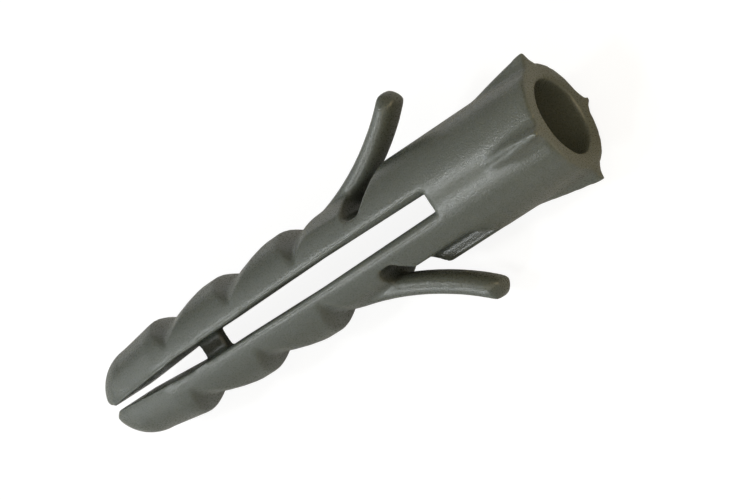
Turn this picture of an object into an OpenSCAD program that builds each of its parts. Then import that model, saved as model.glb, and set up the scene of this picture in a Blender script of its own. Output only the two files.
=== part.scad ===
// Wall plug, 8 by 40 mm: one nylon moulding with a split, toothed body,
// two locking tongues and four small fins round its mouth.
// Lengths are millimetres. Inside the modules +X runs from the tip to the
// mouth, the slot is open along Y and the tongues stand out along +Z and -Z.
// Turned half round its axis the plug is the same again, so one half is
// drawn and the other is its copy.

/* [Overall] */
// Length from the tip to the mouth
plug_length = 40; // [38:0.5:44]
// Outside diameter of the neck, a light press in an 8 mm hole
neck_diameter = 7.9; // [7.5:0.05:8.2]
// Roll about the axis in which the plug lies still on a table
rest_roll = -65; // [-90:0.5:90]

/* [Nose] */
// Radius of the round nose
nose_radius = 3.15; // [2.9:0.05:3.3]
// Length of nose ahead of its centre, the rest is cut flat
nose_length = 2.8; // [2.4:0.05:3.1]

/* [Teeth] */
// Teeth on each half
teeth = 3; // [2:1:4]
// Distance from one crest to the next
tooth_pitch = 6.02; // [5.6:0.02:6.2]
// Distance of the first crest from the tip
first_crest = 5.8; // [5.6:0.1:6.6]
// Radius of the body at the first crest
first_crest_radius = 3.61; // [3.4:0.01:3.7]
// Radius of the body at the last crest
last_crest_radius = 3.82; // [3.65:0.01:3.95]
// Depth of the valley behind a crest
tooth_depth = 0.8; // [0.4:0.02:0.9]
// Depth of the valley behind the last crest
last_tooth_depth = 0.94; // [0.5:0.02:1]
// Length of the steep face from crest to valley
face_length = 1.6; // [1.2:0.05:1.9]
// How far the back of a tooth bulges out of a straight line
back_bulge = 0.16; // [0:0.02:0.25]
// Height by which the body rounds off the peak of a tooth
crest_land = 0.12; // [0.06:0.02:0.2]
// How far the teeth are struck from beyond the axis, so valleys fade out
tooth_offset = 2.15; // [1.8:0.05:2.6]

/* [Slot] */
// Width of the slot at its widest
slot_width = 1.6; // [1.4:0.05:1.8]
// Distance from the tip to where the slot is widest
slot_middle = 18; // [16:0.5:22]
// Width of the slot at its closed end
end_slot_width = 1.32; // [1.1:0.02:1.5]
// Width of the slot at the web
web_slot_width = 1.36; // [1.1:0.02:1.5]
// Width of the slot where the halves nearly touch, near the tip
tip_slot_width = 0.36; // [0.2:0.02:0.8]
// Length of the flare that rounds the slot's edges at the tip
tip_flare = 1.2; // [0.4:0.1:1.5]
// Distance from the tip to the closed end of the slot
slot_end = 30.45; // [30:0.05:31.5]
// Distance from the tip to the web that joins the halves
web_start = 8.05; // [7.8:0.05:9]
// Length of the web along the plug
web_length = 1.9; // [1.6:0.1:2.8]
// Thickness of the web across the plug
web_thickness = 0.8; // [0.6:0.1:1.6]
// Width of the bevel along the outer edges of the slot
slot_bevel = 0.45; // [0.2:0.05:0.6]

/* [Bore] */
// Diameter of the screw bore at the mouth
bore_diameter = 5.4; // [5:0.1:5.6]
// Length of the straight part of the bore
bore_length = 7; // [6:0.5:7.5]
// Length of the cone behind the bore
lead_length = 3.6; // [3:0.2:4.5]
// Diameter of the screw channel behind the cone
channel_diameter = 2.9; // [2.4:0.1:3.1]
// Diameter of the screw channel at the web
channel_end_diameter = 1.9; // [1.7:0.1:2.3]

/* [Tongues] */
// Width of a tongue
tongue_width = 2.64; // [2.2:0.02:3]
// How far a tongue sits to the side of its pocket
tongue_offset = 0.7; // [0:0.05:1]
// Thickness of a tongue at its crown
tongue_thickness = 1.45; // [1.1:0.05:1.6]
// How much thicker a tongue is at its edge above the neck's flat
tongue_draft = 0.2; // [0:0.02:0.4]
// How square its rounded section is, 2 being an ellipse
tongue_squareness = 2.8; // [2.2:0.1:4]
// Length over which its end is rounded, seen from the side
tongue_round = 0.8; // [0.5:0.05:1]
// Radius to which a tongue bends outwards
tongue_bend = 18.5; // [17:0.5:22]
// Distance from the tip to the line where a tongue leaves the body
tongue_root = 22.1; // [21.8:0.1:22.6]
// Height above the axis at that line
tongue_root_height = 3.65; // [3.5:0.01:3.75]
// Angle to the axis at that line
tongue_root_angle = 15.5; // [13:0.5:18]
// Angle to the axis where the round end begins
tongue_end_angle = 39.2; // [36:0.2:42]

/* [Tongue gap] */
// Distance from the tip to the shoulder beside a tongue's root
shoulder_start = 21.3; // [21:0.1:21.8]
// Radius of that shoulder
shoulder_radius = 3.44; // [3.3:0.02:3.6]
// Height above the axis of the floor of the gap
gap_floor = 1.9; // [1.8:0.05:2.1]
// Distance from the tip to the foot of the gap
gap_start = 24.5; // [24.2:0.05:24.8]
// Length of the floor of the gap
gap_length = 0.8; // [0.6:0.05:1.1]
// Distance from the tip to the step where the neck is full
neck_start = 27.4; // [27.1:0.05:28]

/* [Tongue pockets] */
// Height above the axis of the flat that a folded tongue lies on
pocket_floor = 2.93; // [2.8:0.02:3.1]
// Distance from the tip to the far end of the flat
pocket_end = 31; // [30.8:0.1:31.6]
// Slope of the run out from the flat to the neck
pocket_slope = 40; // [30:1:50]

/* [Fins] */
// Fins round the mouth
fins = 4; // [3:1:6]
// Length of a fin
fin_length = 4.9; // [3.5:0.1:5.5]
// How far a fin stands out of the neck at the mouth
fin_height = 0.96; // [0.6:0.02:1.2]
// Width of a fin at its foot
fin_width = 2.1; // [1.6:0.05:2.4]
// Width of a fin at its hollow waist
fin_waist = 0.7; // [0.5:0.05:1]
// Width of the edge of a fin
fin_edge = 0.26; // [0.2:0.02:0.4]

/* [Hidden] */
$fn = 96;
over = 0.5;
nose_steps = 8;
back_steps = 4;
section_points = 20;
end_steps = 8;
neck_radius = neck_diameter / 2;
bore_radius = bore_diameter / 2;
reach = neck_radius + 6;
body_end = gap_start + gap_length;
last_crest = first_crest + (teeth - 1) * tooth_pitch;
gap_bevel = 0.3;
gap_lean = 0.4;
fin_root = 0.3;
waist_share = 0.38;
web_end = web_start + web_length;
crest_growth = (last_crest_radius - first_crest_radius) / max(teeth - 1, 1);
bend_x = tongue_root - tongue_bend * sin(tongue_root_angle);
bend_z = tongue_root_height + tongue_bend * cos(tongue_root_angle);
tongue_buried = 4;
tongue_middle = tongue_bend + tongue_thickness / 2;
pocket_rise = (reach - pocket_floor) / tan(pocket_slope);
cone_start = plug_length - bore_length - lead_length;

function crest_x(i) = first_crest + i * tooth_pitch;
function crest_r(i) = first_crest_radius + i * crest_growth;
function valley_depth(i) = i < teeth - 1 ? tooth_depth : last_tooth_depth;

// A revolved form along the axis, from an outline of [x, radius] points
module turned() {
    rotate([0, 90, 0])
        rotate_extrude()
            rotate(90)
                mirror([0, 1])
                    children();
}

// A form with one section right through the plug along Y, drawn as [x, z]
module through(depth = 2 * reach) {
    rotate([90, 0, 0])
        linear_extrude(depth, center = true)
            children();
}

// Plain body: round nose, slowly growing shaft and straight neck
module envelope() {
    flat_angle = acos(nose_length / nose_radius);
    turned() polygon(concat(
        [[0, 0]],
        [for (i = [0 : nose_steps]) let (angle = flat_angle + (90 - flat_angle) * i / nose_steps)
            [nose_length - nose_radius * cos(angle), nose_radius * sin(angle)]],
        [[first_crest, first_crest_radius]],
        [[last_crest, last_crest_radius]],
        [[body_end, neck_radius], [plug_length, neck_radius], [plug_length, 0]]
    ));
}

// Toothed outline of the upper half, struck about an axis below the plug's.
// Its peaks stand a little out of the body, which rounds them off, and the
// back of each tooth rises from its valley in a shallow arc.
module toothed_outline() {
    function outline_r(r) = r + tooth_offset;
    function valley(i) = [crest_x(i) + face_length, crest_r(i) - valley_depth(i)];
    function next_peak(i) = i < teeth - 1
        ? [crest_x(i + 1), crest_r(i + 1) + crest_land]
        : [shoulder_start, shoulder_radius];
    polygon(concat(
        [[-over, 0], [-over, outline_r(nose_radius + over)]],
        [[first_crest, outline_r(first_crest_radius + crest_land)]],
        [for (i = [0 : teeth - 1], step = [0 : back_steps])
            let (
                u = step / back_steps,
                point = valley(i) * (1 - u) + next_peak(i) * u
            )
            [point[0], outline_r(point[1] + 4 * back_bulge * u * (1 - u))]],
        [[gap_start, outline_r(shoulder_radius)], [body_end, outline_r(reach)]],
        [[plug_length + over, outline_r(reach)]],
        [[plug_length + over, 0]]
    ));
}

// Upper half of the body with its teeth, without slot or tongue
module half_body() {
    intersection() {
        envelope();
        translate([0, 0, -tooth_offset]) turned() toothed_outline();
        translate([-over, -reach, 0]) cube([plug_length + 2 * over, 2 * reach, reach]);
    }
}

// Space behind the toothed body in which the tongue is free
module tongue_gap() {
    through() polygon([
        [gap_start, gap_floor],
        [body_end, gap_floor],
        [neck_start, neck_radius],
        [neck_start + (reach - neck_radius), reach],
        [gap_start - gap_lean, reach],
        [gap_start - gap_lean, gap_floor + gap_bevel]
    ]);
}

// Flat on one side of the neck, against which the folded tongue lies
module tongue_pocket() {
    translate([0, reach / 2, 0])
        through(reach) polygon([
            [body_end, pocket_floor],
            [pocket_end, pocket_floor],
            [pocket_end + pocket_rise, reach],
            [body_end, reach]
        ]);
}

// Section of a tongue: rounded all round, and thicker at the edge that
// folds onto the neck's flat
module tongue_section() {
    function rounded(value) = sign(value) * pow(abs(value), 2 / tongue_squareness);
    function thickness(across) = tongue_thickness - tongue_draft * across;
    polygon([for (i = [0 : section_points - 1])
        let (
            angle = (i + 0.5) * 360 / section_points,
            across = rounded(sin(angle)),
            depth = rounded(cos(angle)) * (cos(angle) > 0 ? thickness(across) : tongue_thickness) / 2
        )
        [tongue_middle + depth, across * tongue_width / 2]
    ]);
}

// Shape that rounds a tongue's end, seen on its broad side
module broad_end() {
    rotate([0, 90, 0])
        linear_extrude(2 * tongue_middle) {
            circle(tongue_width / 2);
            translate([-tongue_width / 2, -tongue_middle]) square([tongue_width, tongue_middle]);
        }
}

// Shape that rounds a tongue's end, seen from the side
module side_end() {
    start = tongue_width / 2 - tongue_round;
    half = (tongue_thickness + tongue_draft) / 2;
    linear_extrude(2 * tongue_width, center = true)
        polygon(concat(
            [[0, -tongue_middle], [2 * tongue_middle, -tongue_middle], [2 * tongue_middle, start]],
            [for (i = [0 : end_steps]) let (angle = 180 * i / end_steps)
                [tongue_middle + half * cos(angle), start + tongue_round * sin(angle)]],
            [[0, start]]
        ));
}

// Tongue bent outwards along an arc, with a round end
module tongue() {
    translate([bend_x, tongue_offset, bend_z])
        rotate([90, 0, 0])
            intersection() {
                rotate([0, 0, tongue_root_angle - tongue_buried - 90])
                    rotate_extrude(angle = tongue_end_angle - tongue_root_angle + 2 * tongue_buried, $fn = 360)
                        tongue_section();
                rotate([0, 0, tongue_end_angle - 90]) broad_end();
                rotate([0, 0, tongue_end_angle - 90]) side_end();
            }
}

// Slot that parts the body into two halves, nearly closed at the tip
module slot() {
    widths = [
        [-over, tip_slot_width + 2 * tip_flare],
        [0, tip_slot_width + tip_flare],
        [tip_flare, tip_slot_width],
        [web_start, web_slot_width],
        [web_end, web_slot_width],
        [slot_middle, slot_width],
        [slot_end, end_slot_width]
    ];
    last = len(widths) - 1;
    through() polygon(concat(
        [for (w = widths) [w[0], -w[1] / 2]],
        [for (i = [last : -1 : 0]) [widths[i][0], widths[i][1] / 2]]
    ));
    for (side = [0, 180]) rotate([side, 0, 0]) slot_edges();
}

// Bevel along both outer edges of the slot on one side
module slot_edges() {
    half = web_slot_width / 2;
    foot = last_crest_radius - slot_bevel;
    top = max(neck_radius, last_crest_radius) + over;
    translate([web_end, 0, 0])
        rotate([90, 0, 90])
            linear_extrude(slot_end - web_end)
                polygon([
                    [foot, -half],
                    [top, -half - top + foot],
                    [top, half + top - foot],
                    [foot, half]
                ]);
}

// Web across the slot that holds the halves together
module web() {
    translate([web_start, -web_thickness / 2, -slot_width])
        cube([web_length, web_thickness, 2 * slot_width]);
}

// Straight screw bore, its cone and the channel between the halves
module bore() {
    translate([plug_length - bore_length, 0, 0])
        rotate([0, 90, 0]) cylinder(h = bore_length + over, r = bore_radius);
    translate([cone_start, 0, 0])
        rotate([0, 90, 0]) cylinder(h = lead_length, d1 = channel_diameter, d2 = bore_diameter);
    translate([web_end, 0, 0])
        rotate([0, 90, 0])
            cylinder(h = cone_start - web_end, d1 = channel_end_diameter, d2 = channel_diameter);
}

// Fin on the upper side: a keel with hollow flanks that rises to the mouth
module fin() {
    start = plug_length - fin_length;
    foot = neck_radius - fin_root;
    waist = neck_radius + waist_share * fin_height;
    top = neck_radius + fin_height;
    intersection() {
        through() polygon([
            [start, foot],
            [start, neck_radius],
            [plug_length, top],
            [plug_length, foot]
        ]);
        translate([start, 0, 0])
            rotate([90, 0, 90])
                linear_extrude(fin_length)
                    polygon([
                        [-fin_width / 2, foot],
                        [-fin_waist / 2, waist],
                        [-fin_edge / 2, top],
                        [fin_edge / 2, top],
                        [fin_waist / 2, waist],
                        [fin_width / 2, foot]
                    ]);
        linear_extrude(reach)
            polygon([
                [start, -fin_edge / 2],
                [plug_length, -fin_width / 2],
                [plug_length, fin_width / 2],
                [start, fin_edge / 2]
            ]);
    }
}

// One moulding: two halves that flex, their tongues, the web and the neck
module wall_plug() {
    color([0.44, 0.47, 0.44])
        rotate([rest_roll, 0, 0])
            translate([-plug_length, 0, 0]) {
                difference() {
                    for (turn = [0, 180]) rotate([turn, 0, 0]) {
                        difference() {
                            half_body();
                            tongue_gap();
                            tongue_pocket();
                        }
                        tongue();
                    }
                    slot();
                    bore();
                }
                web();
                for (i = [0 : fins - 1]) rotate([i * 360 / fins, 0, 0]) fin();
            }
}

wall_plug();
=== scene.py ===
# %% [markdown]
# # A grey nylon wall plug
#
# The object is a plug for an 8 mm hole: one moulding of polyamide 6 with a
# split, toothed body, two tongues that spread in the hole and four small
# fins round its mouth. The measured shape is already there as a closed CAD
# solid, so this lesson is about what a mould and its material add to that
# shape: soft edges, slight waves, a satin skin and the right light.

# %% Load the measured shape
import bpy
import bmesh
import math
from mathutils import Matrix, Vector


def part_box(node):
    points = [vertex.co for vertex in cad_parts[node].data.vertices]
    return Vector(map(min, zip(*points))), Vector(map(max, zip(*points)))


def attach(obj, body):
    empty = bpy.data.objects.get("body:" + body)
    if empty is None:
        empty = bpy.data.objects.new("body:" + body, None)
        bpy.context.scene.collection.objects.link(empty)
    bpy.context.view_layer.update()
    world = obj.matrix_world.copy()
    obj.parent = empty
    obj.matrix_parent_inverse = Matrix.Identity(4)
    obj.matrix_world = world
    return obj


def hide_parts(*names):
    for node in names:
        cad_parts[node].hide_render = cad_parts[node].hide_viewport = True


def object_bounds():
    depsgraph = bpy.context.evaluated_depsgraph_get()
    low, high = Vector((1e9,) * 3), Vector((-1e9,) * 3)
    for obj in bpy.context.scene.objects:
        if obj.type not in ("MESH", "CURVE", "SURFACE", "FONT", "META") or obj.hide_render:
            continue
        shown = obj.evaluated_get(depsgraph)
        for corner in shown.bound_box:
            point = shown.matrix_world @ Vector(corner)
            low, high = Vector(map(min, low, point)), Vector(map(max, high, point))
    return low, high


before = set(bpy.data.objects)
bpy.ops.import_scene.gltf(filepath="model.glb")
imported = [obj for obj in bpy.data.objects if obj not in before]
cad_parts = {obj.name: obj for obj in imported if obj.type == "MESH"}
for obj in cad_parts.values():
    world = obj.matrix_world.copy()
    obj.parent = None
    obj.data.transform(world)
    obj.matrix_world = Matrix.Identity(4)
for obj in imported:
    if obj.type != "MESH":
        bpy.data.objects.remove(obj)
scene = bpy.context.scene
MM = 0.001
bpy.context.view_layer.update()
plug_low, plug_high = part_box("wall_plug")
print("plug measures", [round((b - a) / MM, 2) for a, b in zip(plug_low, plug_high)], "mm")

# %% [markdown]
# ## Numbers that several steps share
#
# The plug lies rolled about its axis, on one tongue and one fin. Directions
# on the plug, such as "through the slot" or "towards a tongue", are easier
# to think of before that roll, so one matrix turns plug directions into
# scene directions. X stays the plug's axis and is zero at the mouth.

# %% Plug directions
REST_ROLL = math.radians(-65)
PLUG_LENGTH = 40 * MM
plug_turn = Matrix.Rotation(REST_ROLL, 4, "X")


def on_plug(x, y, z):
    """Turns plug millimetres, with x from the tip, into a scene point."""
    return plug_turn @ Vector((x * MM - PLUG_LENGTH, y * MM, z * MM))


print("tongues point to", [round(v, 2) for v in plug_turn @ Vector((0, 0, 1))])

# %% [markdown]
# ## The nylon
#
# Plugs like this are moulded from polyamide 6, coloured grey through and
# through. Nylon shrinks as it sets and copies the mould's spark-eroded
# steel, so its skin is satin: highlights are broad, and close up they break
# into fine grains. A little light enters it, which keeps the shadows of thin
# parts such as the tongues from going black. A principled shader gives all
# of this from a colour, a roughness, a noise for the grain and a touch of
# subsurface light.

# %% Colours
NYLON_GREY = "555953"
NYLON_DARK = "4B4F49"


def linear(hex_colour):
    """Turns an sRGB hex colour into Blender's linear one."""
    parts = [int(hex_colour[i:i + 2], 16) / 255 for i in (0, 2, 4)]
    return [p / 12.92 if p <= 0.04045 else ((p + 0.055) / 1.055) ** 2.4 for p in parts] + [1.0]


print("nylon grey in linear light", [round(v, 3) for v in linear(NYLON_GREY)[:3]])

# %% Node helpers
MIX_A, MIX_B = 6, 7


def add_node(tree, kind, settings=None, inputs=None):
    """Adds a node; an input is a value, or a socket of another node to link."""
    node = tree.nodes.new(kind)
    for name, value in (settings or {}).items():
        setattr(node, name, value)
    for name, value in (inputs or {}).items():
        socket = node.inputs[name] if isinstance(name, int) else next(
            s for s in node.inputs if s.name == name and s.enabled)
        if isinstance(value, bpy.types.NodeSocket):
            tree.links.new(value, socket)
        else:
            socket.default_value = value
    return node


def result(node):
    """The first output that is in use on a node."""
    return next(s for s in node.outputs if s.enabled)


print("a colour mix takes its colours in sockets", MIX_A, "and", MIX_B)

# %% Polyamide 6, spark-eroded satin
# The real grain is a few hundredths of a millimetre wide. A pixel shows
# 0.07 mm of the plug, so the grain is drawn a few times as coarse.
GRAIN_SIZE = 0.12 * MM
GRAIN_DEPTH = 0.03 * MM
MOTTLE_SIZE = 3.5 * MM
SATIN_LOW, SATIN_HIGH = 0.22, 0.38
NYLON_IOR = 1.53
LIGHT_ENTERS = 0.7 * MM


def moulded_polyamide():
    """Grey polyamide 6 as it leaves a spark-eroded mould."""
    material = bpy.data.materials.new("polyamide_6_moulded_grey")
    material.use_nodes = True
    tree = material.node_tree
    tree.nodes.clear()
    place = add_node(tree, "ShaderNodeTexCoord").outputs["Object"]
    grain = add_node(tree, "ShaderNodeTexNoise", None,
                     {"Vector": place, "Scale": 1 / GRAIN_SIZE, "Detail": 3.0, "Roughness": 0.6})
    mottle = add_node(tree, "ShaderNodeTexNoise", None,
                      {"Vector": place, "Scale": 1 / MOTTLE_SIZE, "Detail": 4.0,
                       "Roughness": 0.6})
    tint = add_node(tree, "ShaderNodeMix", {"data_type": "RGBA"},
                    {"Factor": result(mottle),
                     MIX_A: linear(NYLON_DARK), MIX_B: linear(NYLON_GREY)})
    shine = add_node(tree, "ShaderNodeMapRange", None,
                     {"Value": result(grain), "From Min": 0.3, "From Max": 0.7,
                      "To Min": SATIN_LOW, "To Max": SATIN_HIGH})
    bump = add_node(tree, "ShaderNodeBump", None,
                    {"Height": result(grain), "Strength": 0.7, "Distance": GRAIN_DEPTH})
    shader = add_node(tree, "ShaderNodeBsdfPrincipled", None,
                      {"Base Color": result(tint), "Roughness": result(shine),
                       "Normal": result(bump), "IOR": NYLON_IOR,
                       "Subsurface Weight": 0.3, "Subsurface Scale": LIGHT_ENTERS,
                       "Subsurface Radius": (1.0, 0.8, 0.4)})
    add_node(tree, "ShaderNodeOutputMaterial", None, {"Surface": result(shader)})
    return material


nylon = moulded_polyamide()
print("material", nylon.name, "with", len(nylon.node_tree.nodes), "nodes")

# %% [markdown]
# ## The moulding with its soft edges
#
# A mould's edges are never sharp: cutters and spark erosion leave small
# radii, and nylon pulls back from corners. Bevels on every edge of such a
# shape would fight each other where teeth, slot and tongues meet. Rebuilding
# the skin from even little squares and averaging their places rounds every
# edge alike, inside and out, as the real thing is. The tongues' ends and the
# mouth are rounder still, so there the averaging goes on longer. The rule is
# the same all over the skin, which is what Geometry Nodes are good at.

# %% Parts that a tree is made of
def tree_with(name, sockets):
    """An empty Geometry Nodes tree with the named inputs, and its two end nodes."""
    tree = bpy.data.node_groups.new(name, "GeometryNodeTree")
    tree.interface.new_socket("Geometry", in_out="OUTPUT", socket_type="NodeSocketGeometry")
    for label, kind in sockets:
        tree.interface.new_socket(label, in_out="INPUT", socket_type="NodeSocket" + kind)
    given = tree.nodes.new("NodeGroupInput").outputs
    return tree, given, tree.nodes.new("NodeGroupOutput").inputs


def finished(tree, geometry, material, end):
    """Ends a tree with real meshes that carry the material."""
    real = add_node(tree, "GeometryNodeRealizeInstances", None, {"Geometry": geometry})
    dressed = add_node(tree, "GeometryNodeSetMaterial", None,
                       {"Geometry": result(real), "Material": material})
    tree.links.new(result(dressed), end["Geometry"])


def worked_out(tree, operation, first, second):
    """The result of one piece of arithmetic on two numbers or sockets."""
    return result(add_node(tree, "ShaderNodeMath", {"operation": operation},
                           {0: first, 1: second}))


SKIN_INPUTS = (
    ("Geometry", "Geometry"), ("Softening Passes", "Int"), ("End Passes", "Int"),
    ("End Distance", "Float"), ("Mouth Reach", "Float"), ("Mouth Softness", "Float"),
    ("Wave Size", "Float"), ("Wave Height", "Float"), ("Seed", "Float"),
    ("Material", "Material"))
print("the skin's tree takes", [label for label, kind in SKIN_INPUTS])

# %% Steps that soften and wave a skin
def softened(tree, geometry, passes, weight):
    """Moves each point towards the mean of its neighbours, some passes long."""
    place = result(add_node(tree, "GeometryNodeInputPosition"))
    mean = add_node(tree, "GeometryNodeBlurAttribute", {"data_type": "FLOAT_VECTOR"},
                    {"Value": place, "Iterations": passes, "Weight": weight})
    return result(add_node(tree, "GeometryNodeSetPosition", None,
                           {"Geometry": geometry, "Position": result(mean)}))


def extra_softness(tree, given, place):
    """How far each point takes part in the longer averaging: tongue ends and mouth."""
    across = add_node(tree, "ShaderNodeVectorMath", {"operation": "MULTIPLY"},
                      {0: place, 1: (0, 1, 1)})
    off_axis = result(add_node(tree, "ShaderNodeVectorMath", {"operation": "LENGTH"},
                               {0: result(across)}))
    beyond = worked_out(tree, "SUBTRACT", off_axis, given["End Distance"])
    at_end = result(add_node(tree, "ShaderNodeMath", {"operation": "DIVIDE", "use_clamp": True},
                             {0: beyond, 1: 1 * MM}))
    along = add_node(tree, "ShaderNodeSeparateXYZ", None, {"Vector": place}).outputs["X"]
    near_mouth = result(add_node(tree, "ShaderNodeMapRange", None,
                                 {"Value": along, "From Min": given["Mouth Reach"],
                                  "From Max": 0.0, "To Min": 0.0,
                                  "To Max": given["Mouth Softness"]}))
    return worked_out(tree, "MAXIMUM", at_end, near_mouth)


def wave_rise(tree, given, place):
    """A small step along the normal, up or down by a slow noise."""
    finer = worked_out(tree, "DIVIDE", 1.0, given["Wave Size"])
    waves = add_node(tree, "ShaderNodeTexNoise", {"noise_dimensions": "4D"},
                     {"Vector": place, "W": given["Seed"], "Scale": finer, "Detail": 2.0})
    centred = worked_out(tree, "SUBTRACT", result(waves), 0.5)
    height = worked_out(tree, "MULTIPLY", centred, given["Wave Height"])
    normal = result(add_node(tree, "GeometryNodeInputNormal"))
    return result(add_node(tree, "ShaderNodeVectorMath", {"operation": "SCALE"},
                           {0: normal, "Scale": height}))


# %% Tree that makes the moulded skin
def moulded_skin_tree():
    """Rounds the edges of a fine skin and gives it the slight waves of set nylon."""
    tree, given, end = tree_with("moulded_skin", SKIN_INPUTS)
    skin = softened(tree, given["Geometry"], given["Softening Passes"], 0.5)
    place = result(add_node(tree, "GeometryNodeInputPosition"))
    skin = softened(tree, skin, given["End Passes"], extra_softness(tree, given, place))
    waved = add_node(tree, "GeometryNodeSetPosition", None,
                     {"Geometry": skin, "Offset": wave_rise(tree, given, place)})
    smooth = add_node(tree, "GeometryNodeSetShadeSmooth", None, {"Geometry": result(waved)})
    finished(tree, result(smooth), given["Material"], end)
    return tree


moulded_skin = moulded_skin_tree()
print("tree", moulded_skin.name, "with", len(moulded_skin.nodes), "nodes")

# %% Helpers that run a tree on an object
def set_inputs(modifier, values):
    """Sets a modifier's inputs through the identifiers of their sockets."""
    for socket in modifier.node_group.interface.items_tree:
        if socket.item_type == "SOCKET" and socket.in_out == "INPUT" and socket.name in values:
            modifier[socket.identifier] = values[socket.name]


def made_plain(piece):
    """Puts the evaluated mesh in place of a piece's own, and drops its modifiers."""
    view_layer = bpy.context.evaluated_depsgraph_get()
    shaped = bpy.data.meshes.new_from_object(piece.evaluated_get(view_layer))
    piece.modifiers.clear()
    piece.data = shaped
    shaped.calc_loop_triangles()
    print(piece.name, "has", len(shaped.loop_triangles), "triangles")


# %% Copy of the solid
DOUBLES_WITHIN = 0.001 * MM


def merged_copy(node_name, name):
    """A copy of a CAD node with its doubled points merged."""
    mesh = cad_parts[node_name].data.copy()
    work = bmesh.new()
    work.from_mesh(mesh)
    bmesh.ops.remove_doubles(work, verts=work.verts, dist=DOUBLES_WITHIN)
    work.to_mesh(mesh)
    work.free()
    mesh.materials.clear()
    piece = bpy.data.objects.new(name, mesh)
    scene.collection.objects.link(piece)
    return piece


moulding = merged_copy("wall_plug", "moulded_plug")
print("copy has", len(moulding.data.vertices), "points")

# %% Rebuilt in even squares, then softened and waved
# These squares keep the piece under 200,000 triangles. Nothing but the
# tongues' outer parts is more than 5.9 mm from the axis.
SKIN_SQUARE = 0.155 * MM
squares = moulding.modifiers.new("squares", "REMESH")
squares.mode = "VOXEL"
squares.voxel_size = SKIN_SQUARE
skin = moulding.modifiers.new("skin", "NODES")
skin.node_group = moulded_skin
set_inputs(skin, {"Softening Passes": 2, "End Passes": 6, "End Distance": 5.9 * MM,
                  "Mouth Reach": -5.2 * MM, "Mouth Softness": 0.5,
                  "Wave Size": 1.1 * MM, "Wave Height": 0.01 * MM, "Seed": 4.0,
                  "Material": nylon})
made_plain(moulding)
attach(moulding, "root")
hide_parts("wall_plug")

# %% [markdown]
# ## Floor
#
# The photograph is a cut-out on white. A sheet of white board under soft
# light gives that, and keeps a faint shadow where the plug lies. White board
# would also throw much light up under the plug. So only the camera, and
# reflections that reach far, see it white, and for all other light it is a
# mid grey.

# %% White board
BOARD_SEEN = (0.9, 0.9, 0.9, 1)
BOARD_LIT = (0.5, 0.49, 0.47, 1)
BOARD_GLOW = 1.1
GLOW_SHARE = 0.8
SHADE_REACH = 30 * MM


def white_floor():
    """Grey board that the camera and long reflections see as white, with its shadow kept."""
    material = bpy.data.materials.new("white_studio_board")
    material.use_nodes = True
    tree = material.node_tree
    tree.nodes.clear()
    path = add_node(tree, "ShaderNodeLightPath").outputs
    tone = add_node(tree, "ShaderNodeMix", {"data_type": "RGBA"},
                    {"Factor": path["Is Camera Ray"], MIX_A: BOARD_LIT, MIX_B: BOARD_SEEN})
    board = add_node(tree, "ShaderNodeBsdfDiffuse", None, {"Color": result(tone)})
    glow = add_node(tree, "ShaderNodeEmission", None,
                    {"Color": (1, 1, 1, 1), "Strength": BOARD_GLOW})
    far = worked_out(tree, "GREATER_THAN", path["Ray Length"], SHADE_REACH)
    mirrored = worked_out(tree, "MULTIPLY", path["Is Glossy Ray"], far)
    through = worked_out(tree, "MAXIMUM", mirrored, path["Is Transmission Ray"])
    seen = worked_out(tree, "MAXIMUM", through, path["Is Camera Ray"])
    share = worked_out(tree, "MULTIPLY", seen, GLOW_SHARE)
    mix = add_node(tree, "ShaderNodeMixShader", None,
                   {0: share, 1: result(board), 2: result(glow)})
    add_node(tree, "ShaderNodeOutputMaterial", None, {"Surface": result(mix)})
    return material


board_material = white_floor()
print("material", board_material.name, "with", len(board_material.node_tree.nodes), "nodes")

# %% Lay the board under the plug
HALF_BOARD = 1.5
floor_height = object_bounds()[0][2]
corners = [(x * HALF_BOARD, y * HALF_BOARD, floor_height)
           for x, y in ((-1, -1), (1, -1), (1, 1), (-1, 1))]
floor_mesh = bpy.data.meshes.new("floor")
floor_mesh.from_pydata(corners, [], [(0, 1, 2, 3)])
floor_mesh.materials.append(board_material)
floor = bpy.data.objects.new("floor", floor_mesh)
scene.collection.objects.link(floor)
print("floor lies at", round(floor_height / MM, 2), "mm")

# %% [markdown]
# ## Lamps and world
#
# A round neck mirrors a lamp as a narrow streak, half way between the
# directions of lamp and camera. So two small lamps beyond the tip draw the
# two streaks on the neck. Two broad ones, the keys, shade the teeth towards
# the mouth, and weak fills in front, behind and close to the mouth open the
# gaps, the far side and the bore. Their directions are given on the plug, so
# they would turn with it if it lay another way. A pale world does the rest.

# %% Lamps
COOL = (0.95, 0.99, 1.0)
WARM = (1.0, 0.92, 0.76)
AMBER = (1.0, 0.82, 0.52)
FAR_LAMP = 320
LAMPS = (
    # name, direction on the plug, distance and size in mm, power in W, colour
    ("upper_glint", (-0.477, -0.82, 0.315), FAR_LAMP, 50, 0.3, COOL),
    ("upper_key", (-0.8, -0.42, 0.45), FAR_LAMP, 240, 0.26, COOL),
    ("lower_glint", (-0.477, -0.82, -0.315), FAR_LAMP, 50, 0.3, COOL),
    ("lower_key", (-0.8, -0.42, -0.45), FAR_LAMP, 240, 0.26, COOL),
    ("front_fill", (0.15, -0.99, 0), FAR_LAMP, 200, 0.2, WARM),
    ("back_fill", (-0.2, -0.3, 0.9), FAR_LAMP, 240, 0.08, COOL),
    ("mouth_fill", (0.93, -0.37, 0), 45, 25, 0.006, AMBER),
)
middle = on_plug(23.7, 0, 0)


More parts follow.
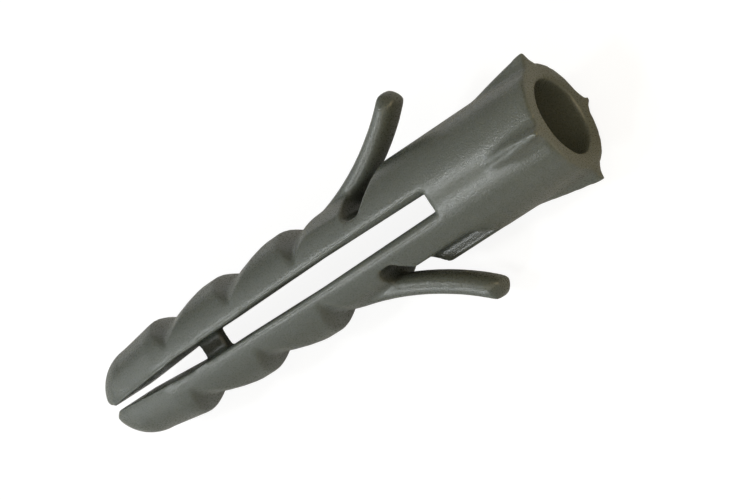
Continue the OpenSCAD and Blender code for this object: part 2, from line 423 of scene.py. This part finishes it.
def soft_lamp(name, direction, distance, size, power, colour):
    """Square lamp that shines on the plug's middle from a direction on the plug."""
    data = bpy.data.lights.new(name, "AREA")
    data.size = size * MM
    data.energy = power
    data.color = colour
    lamp = bpy.data.objects.new(name, data)
    outwards = (plug_turn @ Vector(direction)).normalized()
    facing = outwards.to_track_quat("Z", "Y").to_matrix().to_4x4()
    lamp.matrix_world = Matrix.Translation(middle + outwards * distance * MM) @ facing
    scene.collection.objects.link(lamp)
    return lamp


lamps = {row[0]: soft_lamp(*row) for row in LAMPS}
lamps["mouth_fill"].visible_camera = False
print("lamps", list(lamps))

# %% World and view
world = bpy.data.worlds.new("studio")
scene.world = world
world.use_nodes = True
background = world.node_tree.nodes["Background"].inputs
background["Color"].default_value = (1.0, 0.9, 0.7, 1)
background["Strength"].default_value = 0.14
scene.view_settings.view_transform = "Standard"
print("world strength", round(background["Strength"].default_value, 2))

# %% [markdown]
# ## Camera
#
# The plug's axis runs 33 degrees up to the right in the photograph, and its
# mouth is turned 28.5 degrees towards the camera. The bore's rim and the
# slot's far edge fix that tilt. The taper from mouth to tip tells how far
# off the camera stands: about 24 centimetres, with a long lens.

# %% Directions of the photograph
TILT = math.radians(28.5)
IMAGE_TURN = math.radians(33.27)
towards_camera = plug_turn @ Vector((math.sin(TILT), -math.cos(TILT), 0))
along_image = plug_turn @ Vector((math.cos(TILT), math.sin(TILT), 0))
across_image = plug_turn @ Vector((0, 0, 1))
image_right = math.cos(IMAGE_TURN) * along_image - math.sin(IMAGE_TURN) * across_image
image_up = math.sin(IMAGE_TURN) * along_image + math.cos(IMAGE_TURN) * across_image
print("the camera stands towards", [round(v, 2) for v in towards_camera])

# %% Place the camera
CAMERA_DISTANCE = 235 * MM
PIXELS_ACROSS = 750
FOCAL_PIXELS = 3572
SENSOR_WIDTH = 36
AIM = (23.23, 0, -0.59)
camera_data = bpy.data.cameras.new("camera")
camera_data.sensor_width = SENSOR_WIDTH
camera_data.lens = SENSOR_WIDTH * FOCAL_PIXELS / PIXELS_ACROSS
camera_data.clip_start = 10 * MM
camera_data.clip_end = 10000 * MM
camera = bpy.data.objects.new("camera", camera_data)
scene.collection.objects.link(camera)
turn = Matrix((image_right, image_up, towards_camera)).transposed().to_4x4()
spot = on_plug(*AIM) + towards_camera * CAMERA_DISTANCE
camera.matrix_world = Matrix.Translation(spot) @ turn
scene.camera = camera
print("camera at", [round(v / MM, 1) for v in spot], "lens", round(camera_data.lens, 1))
